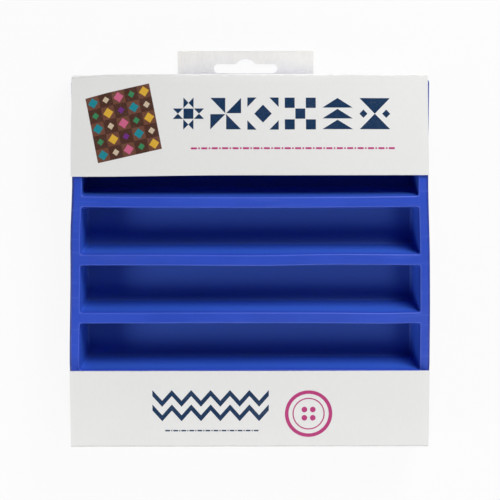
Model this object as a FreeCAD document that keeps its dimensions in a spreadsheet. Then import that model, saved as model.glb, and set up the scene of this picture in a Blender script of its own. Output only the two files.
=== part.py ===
import FreeCAD, Part
import math
import os

import Sketcher

# A pliable tray with six rows for sewing bobbins, and the scored board card folded round it.
# It lies on its back: X runs along the rows, Y across them towards the hang tab, Z out of the rows.
# Driving dimensions in millimetres, and angles in degrees, each with what it measures.
DIMENSIONS = [
    ("row_count", 6, "rows in the tray"),
    ("row_length", 144.0, "clear length of a row at its mouth"),
    ("row_width", 20.15, "clear width of a row at its mouth, a snug fit for a 20.3 mm bobbin"),
    ("row_wall", 4.5, "dividers and the two long rims, across the rows"),
    ("end_wall", 4.2, "end walls of the rows"),
    ("tray_depth", 19.05, "front to back"),
    ("floor_thickness", 2.6, "moulding left behind the rows"),
    ("row_draft", 3.5, "angle that the sides of a row lean out by"),
    ("outer_draft", 0.8, "angle that the outer walls lean in by, towards the back"),
    ("row_fillet", 0.5, "round inside a row, along its floor and in its corners"),
    ("lip_radius", 0.4, "round of the row mouths"),
    ("rim_radius", 1.1, "round of the front outer edge"),
    ("back_radius", 0.6, "round of the back outer edge"),
    ("corner_radius", 2.0, "upright outer corners"),
    ("board", 0.5, "thickness of the card"),
    ("bend_radius", 1.0, "outer radius of a folded score"),
    ("side_reveal", 0.55, "tray that shows past each side of the card"),
    ("under_gap", 0.2, "running clearance behind the tray"),
    ("over_gap", 0.3, "running clearance between the tray and a closed flap"),
    ("top_gap", 0.85, "room between the tray and the top edge of the card"),
    ("bottom_gap", 2.6, "room between the tray and the bottom edge of the card"),
    ("header_length", 42.1, "header flap, from its score to its free edge"),
    ("footer_length", 32.8, "footer flap, from its score to its free edge"),
    ("flap_corner", 0.8, "round of the flaps' free corners"),
    ("footer_spring", 3.5, "angle that the footer flap springs open by"),
    ("tab_width", 61.0, "hang tab"),
    ("tab_height", 10.1, "hang tab, from the top edge of the card"),
    ("tab_corner", 0.7, "round of the hang tab's corners"),
    ("cut_gap", 0.15, "die cut between the hang tab and the top edge"),
    ("slot_width", 28.3, "hang hole"),
    ("slot_height", 4.2, "hang hole, without its arch"),
    ("slot_rise", 0.3, "hang hole's lower edge, above the top edge of the card"),
    ("arch_width", 8.4, "arch over the hang hole, for a single peg"),
    ("arch_height", 2.1, "arch over the hang hole"),
    ("arch_fillet", 0.8, "round where the arch meets the slot"),
]

# Sizes that follow from the driving dimensions.
DERIVED = [
    ("row_pitch", "Dimensions.row_width + Dimensions.row_wall"),
    ("tray_width", "Dimensions.row_length + 2 * Dimensions.end_wall"),
    ("tray_length", "Dimensions.row_count * Derived.row_pitch + Dimensions.row_wall"),
    ("row_depth", "Dimensions.tray_depth - Dimensions.floor_thickness"),
    ("card_width", "Derived.tray_width - 2 * Dimensions.side_reveal"),
    ("card_length",
     "Derived.tray_length + Dimensions.top_gap + Dimensions.bottom_gap + 2 * Dimensions.board"),
    ("card_height",
     "Dimensions.tray_depth + Dimensions.under_gap + Dimensions.over_gap + 2 * Dimensions.board"),
    ("card_bottom", "-(Derived.card_length + Dimensions.tab_height) / 2"),
    ("card_top", "Derived.card_bottom + Derived.card_length"),
    ("fold_inset", "Dimensions.bend_radius * (1 - 1 / sqrt(2))"),
    ("notch_depth", "Dimensions.tab_height + 2 * Derived.fold_inset + Dimensions.cut_gap"),
    ("arch_radius",
     "(Dimensions.arch_width ^ 2 / 4 + Dimensions.arch_height ^ 2) / (2 * Dimensions.arch_height)"),
]

START, END, CENTRE = 1, 2, 3
ORIGIN = (-1, 1)
X_AXIS, Y_AXIS = -1, -2
STRAIGHT_DOWN = 270
MITRE = 45
TOLERANCE = 1e-4

doc = FreeCAD.newDocument("bobbin_organizer")


def make_sheet():
    sheet = doc.addObject("Spreadsheet::Sheet", "Dimensions")
    for row, (alias, number, meaning) in enumerate(DIMENSIONS, start=1):
        sheet.set(f"A{row}", alias)
        sheet.set(f"B{row}", str(number))
        sheet.set(f"C{row}", meaning)
        sheet.setAlias(f"B{row}", alias)
    doc.recompute()
    return sheet


def make_derived():
    derived = doc.addObject("App::VarSet", "Derived")
    for name, formula in DERIVED:
        derived.addProperty("App::PropertyFloat", name)
        derived.setExpression(name, formula)
    doc.recompute()
    return derived


def point(across, up):
    return FreeCAD.Vector(across, up, 0)


def origin_feature(body, role):
    return [item for item in body.Origin.OriginFeatures if item.Role == role][0]


def add_sketch(body, name, role):
    sketch = body.newObject("Sketcher::SketchObject", name)
    sketch.AttachmentSupport = (origin_feature(body, role), [""])
    sketch.MapMode = "FlatFace"
    return sketch


def add_feature(body, kind, name, **settings):
    feature = body.newObject(f"PartDesign::{kind}", name)
    for setting, choice in settings.items():
        setattr(feature, setting, choice)
    return feature


def dimension(sketch, kind, places, number, formula):
    index = sketch.addConstraint(Sketcher.Constraint(kind, *places, number))
    sketch.setExpression(f"Constraints[{index}]", formula)


def add_rectangle(sketch, left, low, right, high, about_y_axis=True):
    corners = [point(left, low), point(right, low), point(right, high), point(left, high)]
    lines = [
        sketch.addGeometry(Part.LineSegment(corners[i], corners[(i + 1) % 4]))
        for i in range(4)
    ]
    for i in range(4):
        sketch.addConstraint(Sketcher.Constraint("Coincident", lines[i], END, lines[(i + 1) % 4], START))
    for i in (1, 3):
        sketch.addConstraint(Sketcher.Constraint("Vertical", lines[i]))
    sketch.addConstraint(Sketcher.Constraint("Horizontal", lines[2]))
    if about_y_axis:
        sketch.addConstraint(Sketcher.Constraint("Symmetric", lines[0], START, lines[0], END, Y_AXIS))
    else:
        sketch.addConstraint(Sketcher.Constraint("Horizontal", lines[0]))
    return lines


def edges_where(feature, test):
    """The names of the edges whose two ends together pass a test."""
    chosen = []
    for index, edge in enumerate(feature.Shape.Edges, start=1):
        if test(edge.valueAt(edge.FirstParameter), edge.valueAt(edge.LastParameter)):
            chosen.append(f"Edge{index}")
    return chosen


def upright_faces(feature):
    return [
        f"Face{index}" for index, face in enumerate(feature.Shape.Faces, start=1)
        if abs(face.normalAt(0, 0).z) < TOLERANCE
    ]


def upright_edges_at(feature, along, across=None):
    """Edges that stand along Z at a distance along Y, and at a distance across X if one is given."""
    def test(start, end):
        return (
            abs(start.z - end.z) > TOLERANCE
            and abs(start.x - end.x) < TOLERANCE
            and all(abs(place.y - along) < TOLERANCE for place in (start, end))
            and (across is None or abs(abs(start.x) - across) < TOLERANCE)
        )
    return edges_where(feature, test)


def add_fillet(body, name, base, edges, radius):
    fillet = add_feature(body, "Fillet", name, Base=(base, edges))
    fillet.setExpression("Radius", radius)
    doc.recompute()
    return fillet


def add_draft(body, name, base, front, angle, narrows_to_back):
    """Leans every upright face about its edge on the front plane."""
    draft = add_feature(
        body, "Draft", name, Base=(base, upright_faces(base)),
        NeutralPlane=(front, [""]), Reversed=narrows_to_back,
    )
    draft.setExpression("Angle", angle)
    doc.recompute()
    return draft


def make_tray(sheet, derived):
    """One moulding: a drafted block with a row of drafted pockets sunk into its front."""
    body = doc.addObject("PartDesign::Body", "tray")
    front = add_feature(
        body, "Plane", "front_plane",
        AttachmentSupport=(origin_feature(body, "XY_Plane"), [""]), MapMode="FlatFace",
    )
    front.setExpression(".AttachmentOffset.Base.z", "Dimensions.tray_depth")
    outline = add_sketch(body, "tray_outline", "XY_Plane")
    half_width, half_length = derived.tray_width / 2, derived.tray_length / 2
    lines = add_rectangle(outline, -half_width, -half_length, half_width, half_length, False)
    outline.addConstraint(Sketcher.Constraint("Symmetric", lines[0], START, lines[2], START, *ORIGIN))
    dimension(outline, "Distance", (lines[0],), derived.tray_width, "Derived.tray_width")
    dimension(outline, "Distance", (lines[1],), derived.tray_length, "Derived.tray_length")
    block = add_feature(body, "Pad", "tray_block", Profile=outline)
    block.setExpression("Length", "Dimensions.tray_depth")
    doc.recompute()
    block = add_draft(body, "outer_walls", block, front, "Dimensions.outer_draft", True)

    mouth = body.newObject("Sketcher::SketchObject", "row_mouth")
    mouth.AttachmentSupport = (front, [""])
    mouth.MapMode = "FlatFace"
    first_row = -(sheet.row_count - 1) / 2 * derived.row_pitch
    half_row = sheet.row_width / 2
    lines = add_rectangle(
        mouth, -sheet.row_length / 2, first_row - half_row, sheet.row_length / 2, first_row + half_row
    )
    dimension(mouth, "Distance", (lines[0],), sheet.row_length, "Dimensions.row_length")
    dimension(mouth, "Distance", (lines[1],), sheet.row_width, "Dimensions.row_width")
    dimension(
        mouth, "DistanceY", (lines[0], START, *ORIGIN), half_row - first_row,
        "(Dimensions.row_count - 1) / 2 * Derived.row_pitch + Dimensions.row_width / 2",
    )
    row = add_feature(body, "Pocket", "row", Profile=mouth)
    row.setExpression("Length", "Derived.row_depth")
    doc.recompute()
    rows = add_feature(
        body, "LinearPattern", "rows", Originals=[row],
        Direction=(origin_feature(body, "Y_Axis"), [""]), Mode="Spacing",
    )
    rows.setExpression("Offset", "Derived.row_pitch")
    rows.setExpression("Occurrences", "Dimensions.row_count")
    body.Tip = rows
    doc.recompute()
    rows = add_draft(body, "row_walls", rows, front, "Dimensions.row_draft", False)
    round_tray(body, rows, sheet, derived)

    body.setExpression(
        ".Placement.Base.y",
        "Derived.card_bottom + Dimensions.board + Dimensions.bottom_gap + Derived.tray_length / 2",
    )
    body.setExpression(".Placement.Base.z", "Dimensions.board + Dimensions.under_gap")
    return body


def round_tray(body, rows, sheet, derived):
    """Rounds the moulding: inside the rows, their lips, the outer corners, the rim and the back."""
    depth = sheet.tray_depth
    half_row_length = sheet.row_length / 2
    half_rows = derived.tray_length / 2 - sheet.row_wall

    def in_rows(*ends):
        return all(
            abs(place.x) < half_row_length + TOLERANCE and abs(place.y) < half_rows + TOLERANCE
            for place in ends
        )

    def at_height(height, *ends):
        return all(abs(place.z - height) < TOLERANCE for place in ends)

    def full_height(start, end):
        return abs(start.z - end.z) > depth / 2

    inside = edges_where(rows, lambda *ends: in_rows(*ends) and not at_height(depth, *ends))
    rounded = add_fillet(body, "row_rounding", rows, inside, "Dimensions.row_fillet")
    lips = edges_where(rounded, lambda *ends: in_rows(*ends) and at_height(depth, *ends))
    rounded = add_fillet(body, "lip_rounding", rounded, lips, "Dimensions.lip_radius")
    corners = edges_where(rounded, lambda *ends: full_height(*ends) and not in_rows(*ends))
    rounded = add_fillet(body, "corner_rounding", rounded, corners, "Dimensions.corner_radius")
    rim = edges_where(rounded, lambda *ends: at_height(depth, *ends) and not in_rows(*ends))
    rounded = add_fillet(body, "rim_rounding", rounded, rim, "Dimensions.rim_radius")
    back = edges_where(rounded, lambda *ends: at_height(0, *ends))
    add_fillet(body, "back_rounding", rounded, back, "Dimensions.back_radius")


def add_bent_end(sketch, sheet, outer, inner, centre_x, at_start):
    """Half of a folded score: the bend, cut on the mitre where the next panel begins."""
    middle = point(centre_x, sheet.bend_radius)
    first, last = STRAIGHT_DOWN, STRAIGHT_DOWN + MITRE
    if at_start:
        first, last = STRAIGHT_DOWN - MITRE, STRAIGHT_DOWN
    arcs = []
    for radius in (sheet.bend_radius, sheet.bend_radius - sheet.board):
        circle = Part.Circle(middle, FreeCAD.Vector(0, 0, 1), radius)
        arc = Part.ArcOfCircle(circle, math.radians(first), math.radians(last))
        arcs.append(sketch.addGeometry(arc))
    far, near = (START, END) if at_start else (END, START)
    mitre = sketch.addGeometry(
        Part.LineSegment(sketch.getPoint(arcs[0], far), sketch.getPoint(arcs[1], far))
    )
    outer_end, inner_end = (START, END) if at_start else (END, START)
    lean = MITRE if at_start else 180 - MITRE
    for rule in (
        ("Tangent", outer, outer_end, arcs[0], near),
        ("Tangent", inner, inner_end, arcs[1], near),
        ("Coincident", arcs[0], CENTRE, arcs[1], CENTRE),
        ("Coincident", mitre, START, arcs[0], far),
        ("Coincident", mitre, END, arcs[1], far),
        ("PointOnObject", arcs[0], CENTRE, mitre),
        ("Angle", mitre, math.radians(lean)),
    ):
        sketch.addConstraint(Sketcher.Constraint(*rule))
    dimension(sketch, "Radius", (arcs[0],), sheet.bend_radius, "Dimensions.bend_radius")
    return arcs[0]


def add_free_end(sketch, outer, inner, at_start):
    outer_end, inner_end = (START, END) if at_start else (END, START)
    edge = sketch.addGeometry(
        Part.LineSegment(sketch.getPoint(outer, outer_end), sketch.getPoint(inner, inner_end))
    )
    sketch.addConstraint(Sketcher.Constraint("Coincident", edge, START, outer, outer_end))
    sketch.addConstraint(Sketcher.Constraint("Coincident", edge, END, inner, inner_end))
    sketch.addConstraint(Sketcher.Constraint("Vertical", edge))


def make_panel(name, sheet, length, formula, bent_start=True, bent_end=True):
    """A panel of the card: its section runs along Y, outer face down, and is padded both ways in X."""
    body = doc.addObject("PartDesign::Body", name)
    section = add_sketch(body, f"{name}_section", "YZ_Plane")
    left = sheet.bend_radius if bent_start else 0
    right = length - (sheet.bend_radius if bent_end else 0)
    outer = section.addGeometry(Part.LineSegment(point(left, 0), point(right, 0)))
    inner = section.addGeometry(Part.LineSegment(point(right, sheet.board), point(left, sheet.board)))
    section.addConstraint(Sketcher.Constraint("PointOnObject", outer, START, X_AXIS))
    section.addConstraint(Sketcher.Constraint("Horizontal", outer))
    section.addConstraint(Sketcher.Constraint("Horizontal", inner))
    dimension(section, "DistanceY", (outer, START, inner, END), sheet.board, "Dimensions.board")
    if bent_start:
        arc = add_bent_end(section, sheet, outer, inner, left, True)
        dimension(
            section, "DistanceX", (*ORIGIN, arc, CENTRE), sheet.bend_radius, "Dimensions.bend_radius"
        )
    else:
        add_free_end(section, outer, inner, True)
        section.addConstraint(Sketcher.Constraint("PointOnObject", outer, START, Y_AXIS))
    if bent_end:
        arc = add_bent_end(section, sheet, outer, inner, right, False)
        dimension(
            section, "DistanceX", (*ORIGIN, arc, CENTRE), right, f"{formula} - Dimensions.bend_radius"
        )
    else:
        add_free_end(section, outer, inner, False)
        dimension(section, "DistanceX", (*ORIGIN, outer, END), right, formula)
    panel = add_feature(body, "Pad", f"{name}_panel", Profile=section, SideType="Symmetric")
    panel.setExpression("Length", "Derived.card_width")
    doc.recompute()
    return body


def stand(body, turn, base_y, base_z):
    """Turns a panel about X and puts its first corner in place, all from the dimensions."""
    body.Placement = FreeCAD.Placement(FreeCAD.Vector(0, 0, 0), FreeCAD.Rotation(FreeCAD.Vector(1, 0, 0), 90))
    body.setExpression(".Placement.Rotation.Angle", turn)
    body.setExpression(".Placement.Base.y", base_y)
    body.setExpression(".Placement.Base.z", base_z)


def round_free_corners(body, free_end):
    panel = body.Tip
    corners = upright_edges_at(panel, free_end)
    add_fillet(body, f"{body.Name}_corners", panel, corners, "Dimensions.flap_corner")


def add_cut(body, name, low, low_formula, high, high_formula, sheet):
    """Cuts a window through a panel, as wide as the hang tab and its die cut, between two heights."""
    window = add_sketch(body, f"{name}_outline", "XY_Plane")
    half_width = sheet.tab_width / 2 + sheet.cut_gap
    lines = add_rectangle(window, -half_width, low, half_width, high)
    dimension(
        window, "Distance", (lines[0],), 2 * half_width, "Dimensions.tab_width + 2 * Dimensions.cut_gap"
    )
    for line, number, formula in ((lines[0], low, low_formula), (lines[2], high, high_formula)):
        if number < 0:
            dimension(window, "DistanceY", (line, START, *ORIGIN), -number, f"-({formula})")
        else:
            dimension(window, "DistanceY", (*ORIGIN, line, START), number, formula)
    cut = add_feature(body, "Pocket", name, Profile=window, Type="ThroughAll", SideType="Symmetric")
    doc.recompute()
    return cut


def add_hang_hole(body, sheet, derived):
    """A slot with round ends and a low arch over its middle."""
    hole = add_sketch(body, "hang_hole_outline", "XY_Plane")
    end_radius = sheet.slot_height / 2
    reach = sheet.slot_width / 2 - end_radius
    low = derived.card_length + sheet.slot_rise
    high = low + sheet.slot_height
    half_arch = sheet.arch_width / 2
    arch_centre = high + sheet.arch_height - derived.arch_radius
    spread = math.asin(half_arch / derived.arch_radius)
    up = math.pi / 2

    def add_line(*ends):
        return hole.addGeometry(Part.LineSegment(*ends))

    def add_arc(centre, radius, first, last):
        circle = Part.Circle(centre, FreeCAD.Vector(0, 0, 1), radius)
        return hole.addGeometry(Part.ArcOfCircle(circle, first, last))

    bottom = add_line(point(-reach, low), point(reach, low))
    right = add_arc(point(reach, low + end_radius), end_radius, -up, up)
    top_right = add_line(point(reach, high), point(half_arch, high))
    arch = add_arc(point(0, arch_centre), derived.arch_radius, up - spread, up + spread)
    top_left = add_line(point(-half_arch, high), point(-reach, high))
    left = add_arc(point(-reach, low + end_radius), end_radius, up, 3 * up)
    for rule in (
        ("Tangent", bottom, END, right, START),
        ("Tangent", right, END, top_right, START),
        ("Coincident", top_right, END, arch, START),
        ("Coincident", arch, END, top_left, START),
        ("Tangent", top_left, END, left, START),
        ("Tangent", left, END, bottom, START),
        ("Horizontal", bottom),
        ("Horizontal", top_right),
        ("Horizontal", top_left),
        ("Symmetric", left, CENTRE, right, CENTRE, Y_AXIS),
        ("Symmetric", arch, START, arch, END, Y_AXIS),
    ):
        hole.addConstraint(Sketcher.Constraint(*rule))
    dimension(hole, "Radius", (right,), end_radius, "Dimensions.slot_height / 2")
    dimension(
        hole, "Distance", (bottom,), 2 * reach, "Dimensions.slot_width - Dimensions.slot_height"
    )
    dimension(
        hole, "DistanceX", (arch, END, arch, START), sheet.arch_width, "Dimensions.arch_width"
    )
    dimension(hole, "Radius", (arch,), derived.arch_radius, "Derived.arch_radius")
    dimension(
        hole, "DistanceY", (*ORIGIN, bottom, START), low, "Derived.card_length + Dimensions.slot_rise"
    )
    cut = add_feature(body, "Pocket", "hang_hole", Profile=hole, Type="ThroughAll", SideType="Symmetric")
    doc.recompute()
    arch_ends = upright_edges_at(cut, high, half_arch)
    add_fillet(body, "arch_rounding", cut, arch_ends, "Dimensions.arch_fillet")


def make_back_panel(sheet, derived):
    """The back of the card, with the hang tab that stays in its plane where the top edge folds up."""
    length = derived.card_length
    body = make_panel("card_back_panel", sheet, length, "Derived.card_length")
    root = length - sheet.bend_radius
    add_cut(
        body, "tab_release",
        root, "Derived.card_length - Dimensions.bend_radius",
        length, "Derived.card_length", sheet,
    )
    outline = add_sketch(body, "tab_outline", "XY_Plane")
    low = root - sheet.bend_radius
    high = length + sheet.tab_height
    lines = add_rectangle(outline, -sheet.tab_width / 2, low, sheet.tab_width / 2, high)
    dimension(outline, "Distance", (lines[0],), sheet.tab_width, "Dimensions.tab_width")
    dimension(
        outline, "DistanceY", (*ORIGIN, lines[0], START), low,
        "Derived.card_length - 2 * Dimensions.bend_radius",
    )
    dimension(
        outline, "DistanceY", (*ORIGIN, lines[2], START), high,
        "Derived.card_length + Dimensions.tab_height",
    )
    tab = add_feature(body, "Pad", "hang_tab", Profile=outline)
    tab.setExpression("Length", "Dimensions.board")
    doc.recompute()
    add_fillet(body, "tab_corners", tab, upright_edges_at(tab, high), "Dimensions.tab_corner")
    add_hang_hole(body, sheet, derived)
    body.setExpression(".Placement.Base.y", "Derived.card_bottom")
    return body


def make_top_edge(sheet, derived):
    """The strip over the tray's top wall, with the notch that the hang tab was cut from."""
    body = make_panel("card_top_edge", sheet, derived.card_height, "Derived.card_height")
    notch = add_cut(
        body, "tab_notch",
        -sheet.bend_radius, "-Dimensions.bend_radius",
        derived.notch_depth, "Derived.notch_depth", sheet,
    )
    corners = upright_edges_at(notch, derived.notch_depth)
    add_fillet(body, "notch_corners", notch, corners, "Dimensions.tab_corner + Dimensions.cut_gap")
    stand(body, "90 deg", "Derived.card_top", "0 mm")
    return body


def make_header(sheet):
    body = make_panel(
        "card_header_flap", sheet, sheet.header_length, "Dimensions.header_length", bent_end=False
    )
    round_free_corners(body, sheet.header_length)
    stand(body, "180 deg", "Derived.card_top", "Derived.card_height")
    return body


def make_bottom_edge(sheet, derived):
    body = make_panel("card_bottom_edge", sheet, derived.card_height, "Derived.card_height")
    stand(body, "270 deg", "Derived.card_bottom", "Derived.card_height")
    return body


def make_footer(sheet):
    """The lower flap, turned about its score by the angle that it springs open by."""
    body = make_panel(
        "card_footer_flap", sheet, sheet.footer_length, "Dimensions.footer_length", bent_start=False
    )
    round_free_corners(body, 0)
    spring = "(Dimensions.footer_spring * 1 deg)"
    reach = "(Dimensions.footer_length - Derived.fold_inset)"
    stand(
        body,
        f"180 deg + {spring}",
        f"Derived.card_bottom + Derived.fold_inset"
        f" + {reach} * cos({spring}) - Derived.fold_inset * sin({spring})",
        f"Derived.card_height - Derived.fold_inset"
        f" + {reach} * sin({spring}) + Derived.fold_inset * cos({spring})",
    )
    return body


def check(bodies):
    for item in doc.Objects:
        for fault in ("Invalid", "Error"):
            if fault in item.State:
                raise RuntimeError(f"{item.Label} is {item.State}")
        if item.TypeId == "Sketcher::SketchObject" and not item.FullyConstrained:
            raise RuntimeError(f"{item.Label} is not fully constrained")
    for body in bodies:
        if body.Shape.isNull() or not body.Shape.isValid() or len(body.Shape.Solids) != 1:
            raise RuntimeError(f"{body.Label} has no single valid solid")


def write(bodies):
    os.makedirs("parts", exist_ok=True)
    for body in bodies:
        body.Shape.exportStep(f"parts/{body.Label}.step")
        box = body.Shape.BoundBox
        print(
            f"{body.Label}: {body.Shape.Volume / 1000:.2f} cm3, x {box.XMin:.2f} to {box.XMax:.2f},"
            f" y {box.YMin:.2f} to {box.YMax:.2f}, z {box.ZMin:.2f} to {box.ZMax:.2f}"
        )


def main():
    sheet = make_sheet()
    derived = make_derived()
    bodies = [
        make_tray(sheet, derived),
        make_back_panel(sheet, derived),
        make_top_edge(sheet, derived),
        make_header(sheet),
        make_bottom_edge(sheet, derived),
        make_footer(sheet),
    ]
    doc.recompute()
    check(bodies)
    write(bodies)
    for name, formula in DERIVED:
        print(f"{name} = {formula} = {getattr(derived, name):.3f}")


main()
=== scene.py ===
import math

import bmesh
import bpy
from mathutils import Matrix, Vector


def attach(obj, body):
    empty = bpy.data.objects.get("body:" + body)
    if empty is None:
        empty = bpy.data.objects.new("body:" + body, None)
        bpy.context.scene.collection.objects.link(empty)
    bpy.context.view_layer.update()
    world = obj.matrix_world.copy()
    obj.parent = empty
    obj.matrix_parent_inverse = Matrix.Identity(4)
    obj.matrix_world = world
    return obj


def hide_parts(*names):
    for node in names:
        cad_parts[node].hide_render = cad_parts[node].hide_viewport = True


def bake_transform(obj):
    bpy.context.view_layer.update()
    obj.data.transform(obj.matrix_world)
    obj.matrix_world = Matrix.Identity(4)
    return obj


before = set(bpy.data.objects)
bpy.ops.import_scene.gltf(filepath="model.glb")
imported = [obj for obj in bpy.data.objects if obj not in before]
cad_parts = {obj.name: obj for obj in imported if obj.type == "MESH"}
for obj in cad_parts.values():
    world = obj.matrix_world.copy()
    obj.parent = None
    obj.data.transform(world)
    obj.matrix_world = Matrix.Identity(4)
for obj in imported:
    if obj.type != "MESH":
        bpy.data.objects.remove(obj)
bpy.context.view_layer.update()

mm = 0.001
scene = bpy.context.scene

cameraSet = {
    "place": (-4.98, 68.0, 480.85),  # mm, nearly straight above the rows
    "turn": (-0.05575, -0.00423, -0.000277),  # radians
    "lens": 79.6,
    "sensor": 36.0,
    "shift": (0.015, -0.2008),
    "clip": (0.01, 20),
}


def placeCamera(s):
    data = bpy.data.cameras.new("camera")
    data.lens = s["lens"]
    data.sensor_width = s["sensor"]
    data.shift_x, data.shift_y = s["shift"]
    data.clip_start, data.clip_end = s["clip"]
    camera = bpy.data.objects.new("camera", data)
    camera.location = Vector(s["place"]) * mm
    camera.rotation_euler = s["turn"]
    scene.collection.objects.link(camera)
    scene.camera = camera


# turn is clockwise from the hang tab's side and lift is above the floor, both in degrees
lightSet = {
    "key": {"turn": 30, "lift": 31, "away": 600, "size": (290, 290), "power": 3.55},
    "left": {"turn": 246, "lift": 30, "away": 400, "size": (110, 110), "power": 0.58},
    "right": {"turn": 128, "lift": 45, "away": 400, "size": (110, 110), "power": 0.27},
    "near": {"turn": 176, "lift": 30, "away": 400, "size": (110, 110), "power": 0.48},
    "tabLight": {  # a narrow strip that reaches the hang tab only
        "turn": 0, "lift": 84, "away": 90, "size": (70, 6), "power": 0.0009, "aim": (-1, 81, 0),
        "beam": 18,
    },
    "world": 0.01,
    "floorHalf": 4,  # metres
    "floorColour": (0.72, 0.72, 0.72),
    "floorShow": 0.92,  # how much of the seen floor is plain white, the rest is its lit paper
}


def addLight(name, s):
    data = bpy.data.lights.new(name, "AREA")
    data.shape = "RECTANGLE"
    data.size, data.size_y = s["size"][0] * mm, s["size"][1] * mm
    data.energy = s["power"]
    data.spread = math.radians(s.get("beam", 180))
    light = bpy.data.objects.new(name, data)
    turn, lift = math.radians(s["turn"]), math.radians(s["lift"])
    out = Vector((math.sin(turn) * math.cos(lift), math.cos(turn) * math.cos(lift), math.sin(lift)))
    light.location = (Vector(s.get("aim", (0, 0, 0))) + out * s["away"]) * mm
    light.rotation_euler = (-out).to_track_quat("-Z", "Y").to_euler()
    scene.collection.objects.link(light)


def makeStage(s):
    world = bpy.data.worlds.new("studio")
    world.use_nodes = True
    scene.world = world
    sky = world.node_tree
    background = sky.nodes["Background"]
    background.inputs["Color"].default_value = (1, 1, 1, 1)
    background.inputs["Strength"].default_value = s["world"]
    # white past the floor's edge, which lights nothing
    backdrop = sky.nodes.new("ShaderNodeBackground")
    backdrop.inputs["Color"].default_value = (1, 1, 1, 1)
    backdrop.inputs["Strength"].default_value = 1
    choose = sky.nodes.new("ShaderNodeMixShader")
    eye = sky.nodes.new("ShaderNodeLightPath")
    sky.links.new(eye.outputs["Is Camera Ray"], choose.inputs[0])
    sky.links.new(background.outputs[0], choose.inputs[1])
    sky.links.new(backdrop.outputs[0], choose.inputs[2])
    sky.links.new(choose.outputs[0], sky.nodes["World Output"].inputs["Surface"])
    for name in ("key", "left", "right", "near", "tabLight"):
        addLight(name, s[name])
    bm = bmesh.new()
    bmesh.ops.create_grid(bm, x_segments=1, y_segments=1, size=s["floorHalf"])
    mesh = bpy.data.meshes.new("floor")
    bm.to_mesh(mesh)
    bm.free()
    floor = bpy.data.objects.new("floor", mesh)
    scene.collection.objects.link(floor)
    material = bpy.data.materials.new("floorPaper")
    material.use_nodes = True
    tree = material.node_tree
    tree.nodes.clear()
    out = tree.nodes.new("ShaderNodeOutputMaterial")
    mix = tree.nodes.new("ShaderNodeMixShader")
    matt = tree.nodes.new("ShaderNodeBsdfDiffuse")
    matt.inputs["Color"].default_value = (*s["floorColour"], 1)
    white = tree.nodes.new("ShaderNodeEmission")
    white.inputs["Color"].default_value = (1, 1, 1, 1)
    white.inputs["Strength"].default_value = 1
    path = tree.nodes.new("ShaderNodeLightPath")
    seen = tree.nodes.new("ShaderNodeMath")
    seen.operation = "MAXIMUM"
    tree.links.new(path.outputs["Is Camera Ray"], seen.inputs[0])
    tree.links.new(path.outputs["Is Glossy Ray"], seen.inputs[1])
    share = tree.nodes.new("ShaderNodeMath")
    share.operation = "MULTIPLY"
    share.inputs[1].default_value = s["floorShow"]
    tree.links.new(seen.outputs[0], share.inputs[0])
    tree.links.new(share.outputs[0], mix.inputs[0])
    tree.links.new(matt.outputs[0], mix.inputs[1])
    tree.links.new(white.outputs[0], mix.inputs[2])
    tree.links.new(mix.outputs[0], out.inputs[0])
    floor.data.materials.append(material)
    scene.view_settings.view_transform = "Standard"


placeCamera(cameraSet)
makeStage(lightSet)
print("camera and stage")


traySet = {
    "half": 76.2,  # mm, to the outer walls at the front
    "taper": 0.9965,  # the back's size over the front's
    "back": 0.7,  # heights of the underside and of the rim
    "front": 19.75,
    "middle": -4.175,  # of the rows, towards the hang tab
    "rows": 6,
    "pitch": 24.65,
    "mouth": (72.0, 10.075),  # half a row's length and half its width
    "floor": (70.5, 7.975),
    "depth": 16.45,
    "cornerRound": 2.0,
    "rowRound": 1.0,
    "lipRound": 0.4,
    "rimRound": 1.1,
    "backRound": 0.6,
    "grid": (8.1, 8.3, 1.9),  # slices along and across, and how far the second set is moved
    "gridCount": 8,  # each way from the middle
    "dividerReach": 4.5,  # from a divider's middle to its foot
    # the moulding has relaxed: a push is how far, where and how wide, and line 0 is the divider
    # in the middle of the window
    "pushes": {0: ((0.25, 36, 20), (-0.3, 2, 24)), -1: ((0.12, -10, 30), (-0.3, 58, 18))},
    "pushEnds": 3,  # how fast a push dies away at a divider's ends
    "sag": 0.45,  # of the divider above it
    "sway": (0.3, 1.7),  # of the others
    "swayRise": 1.4,  # powers that keep the feet still
    "leanRise": 1.3,
    # how far the rims lean inwards, from where and over what length
    "leanLeft": ((0.75, -50, 46), (1.1, 2, 28), (0.8, -48, -14)),
    "leanRight": ((0.405, -30, 40), (0.945, -4, 36), (0.8, -48, -14)),
    "leanSide": (62, 9),  # only the ends of the rows lean
    "ripple": (0.12, 19, 31, 23),  # height and lengths
}


def ease(t):
    t = min(max(t, 0), 1)
    return t * t * (3 - 2 * t)


def ramp(t, start, length):  # a negative length rises the other way
    return ease((t - start) / length)


def bump(x, at, width):
    return math.exp(-(((x - at) / width) ** 2))


def wholeMesh(bm):
    return [*bm.verts, *bm.edges, *bm.faces]


def newVerts(made):
    return [g for g in made if isinstance(g, bmesh.types.BMVert)]


def slicePlane(bm, geom, place, normal, near=1e-4, **more):
    return bmesh.ops.bisect_plane(
        bm, geom=geom, dist=near, plane_co=place, plane_no=normal, **more
    )["geom"]


def bevelEdges(bm, edges, offset, segments):
    return bmesh.ops.bevel(
        bm, geom=edges, offset=offset, offset_type="OFFSET", affect="EDGES", segments=segments,
        profile=0.5, material=-1, clamp_overlap=True,
    )


def dividerShift(s, x, line):
    span = 1 - (x / s["mouth"][0]) ** 2
    if line in s["pushes"]:
        pushed = sum(far * bump(x, at, width) for far, at, width in s["pushes"][line])
        return pushed * min(1, span * s["pushEnds"])
    if line == 1:
        return -s["sag"] * span
    far, phase = s["sway"]
    return -far * span * math.cos(line * phase)


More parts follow.
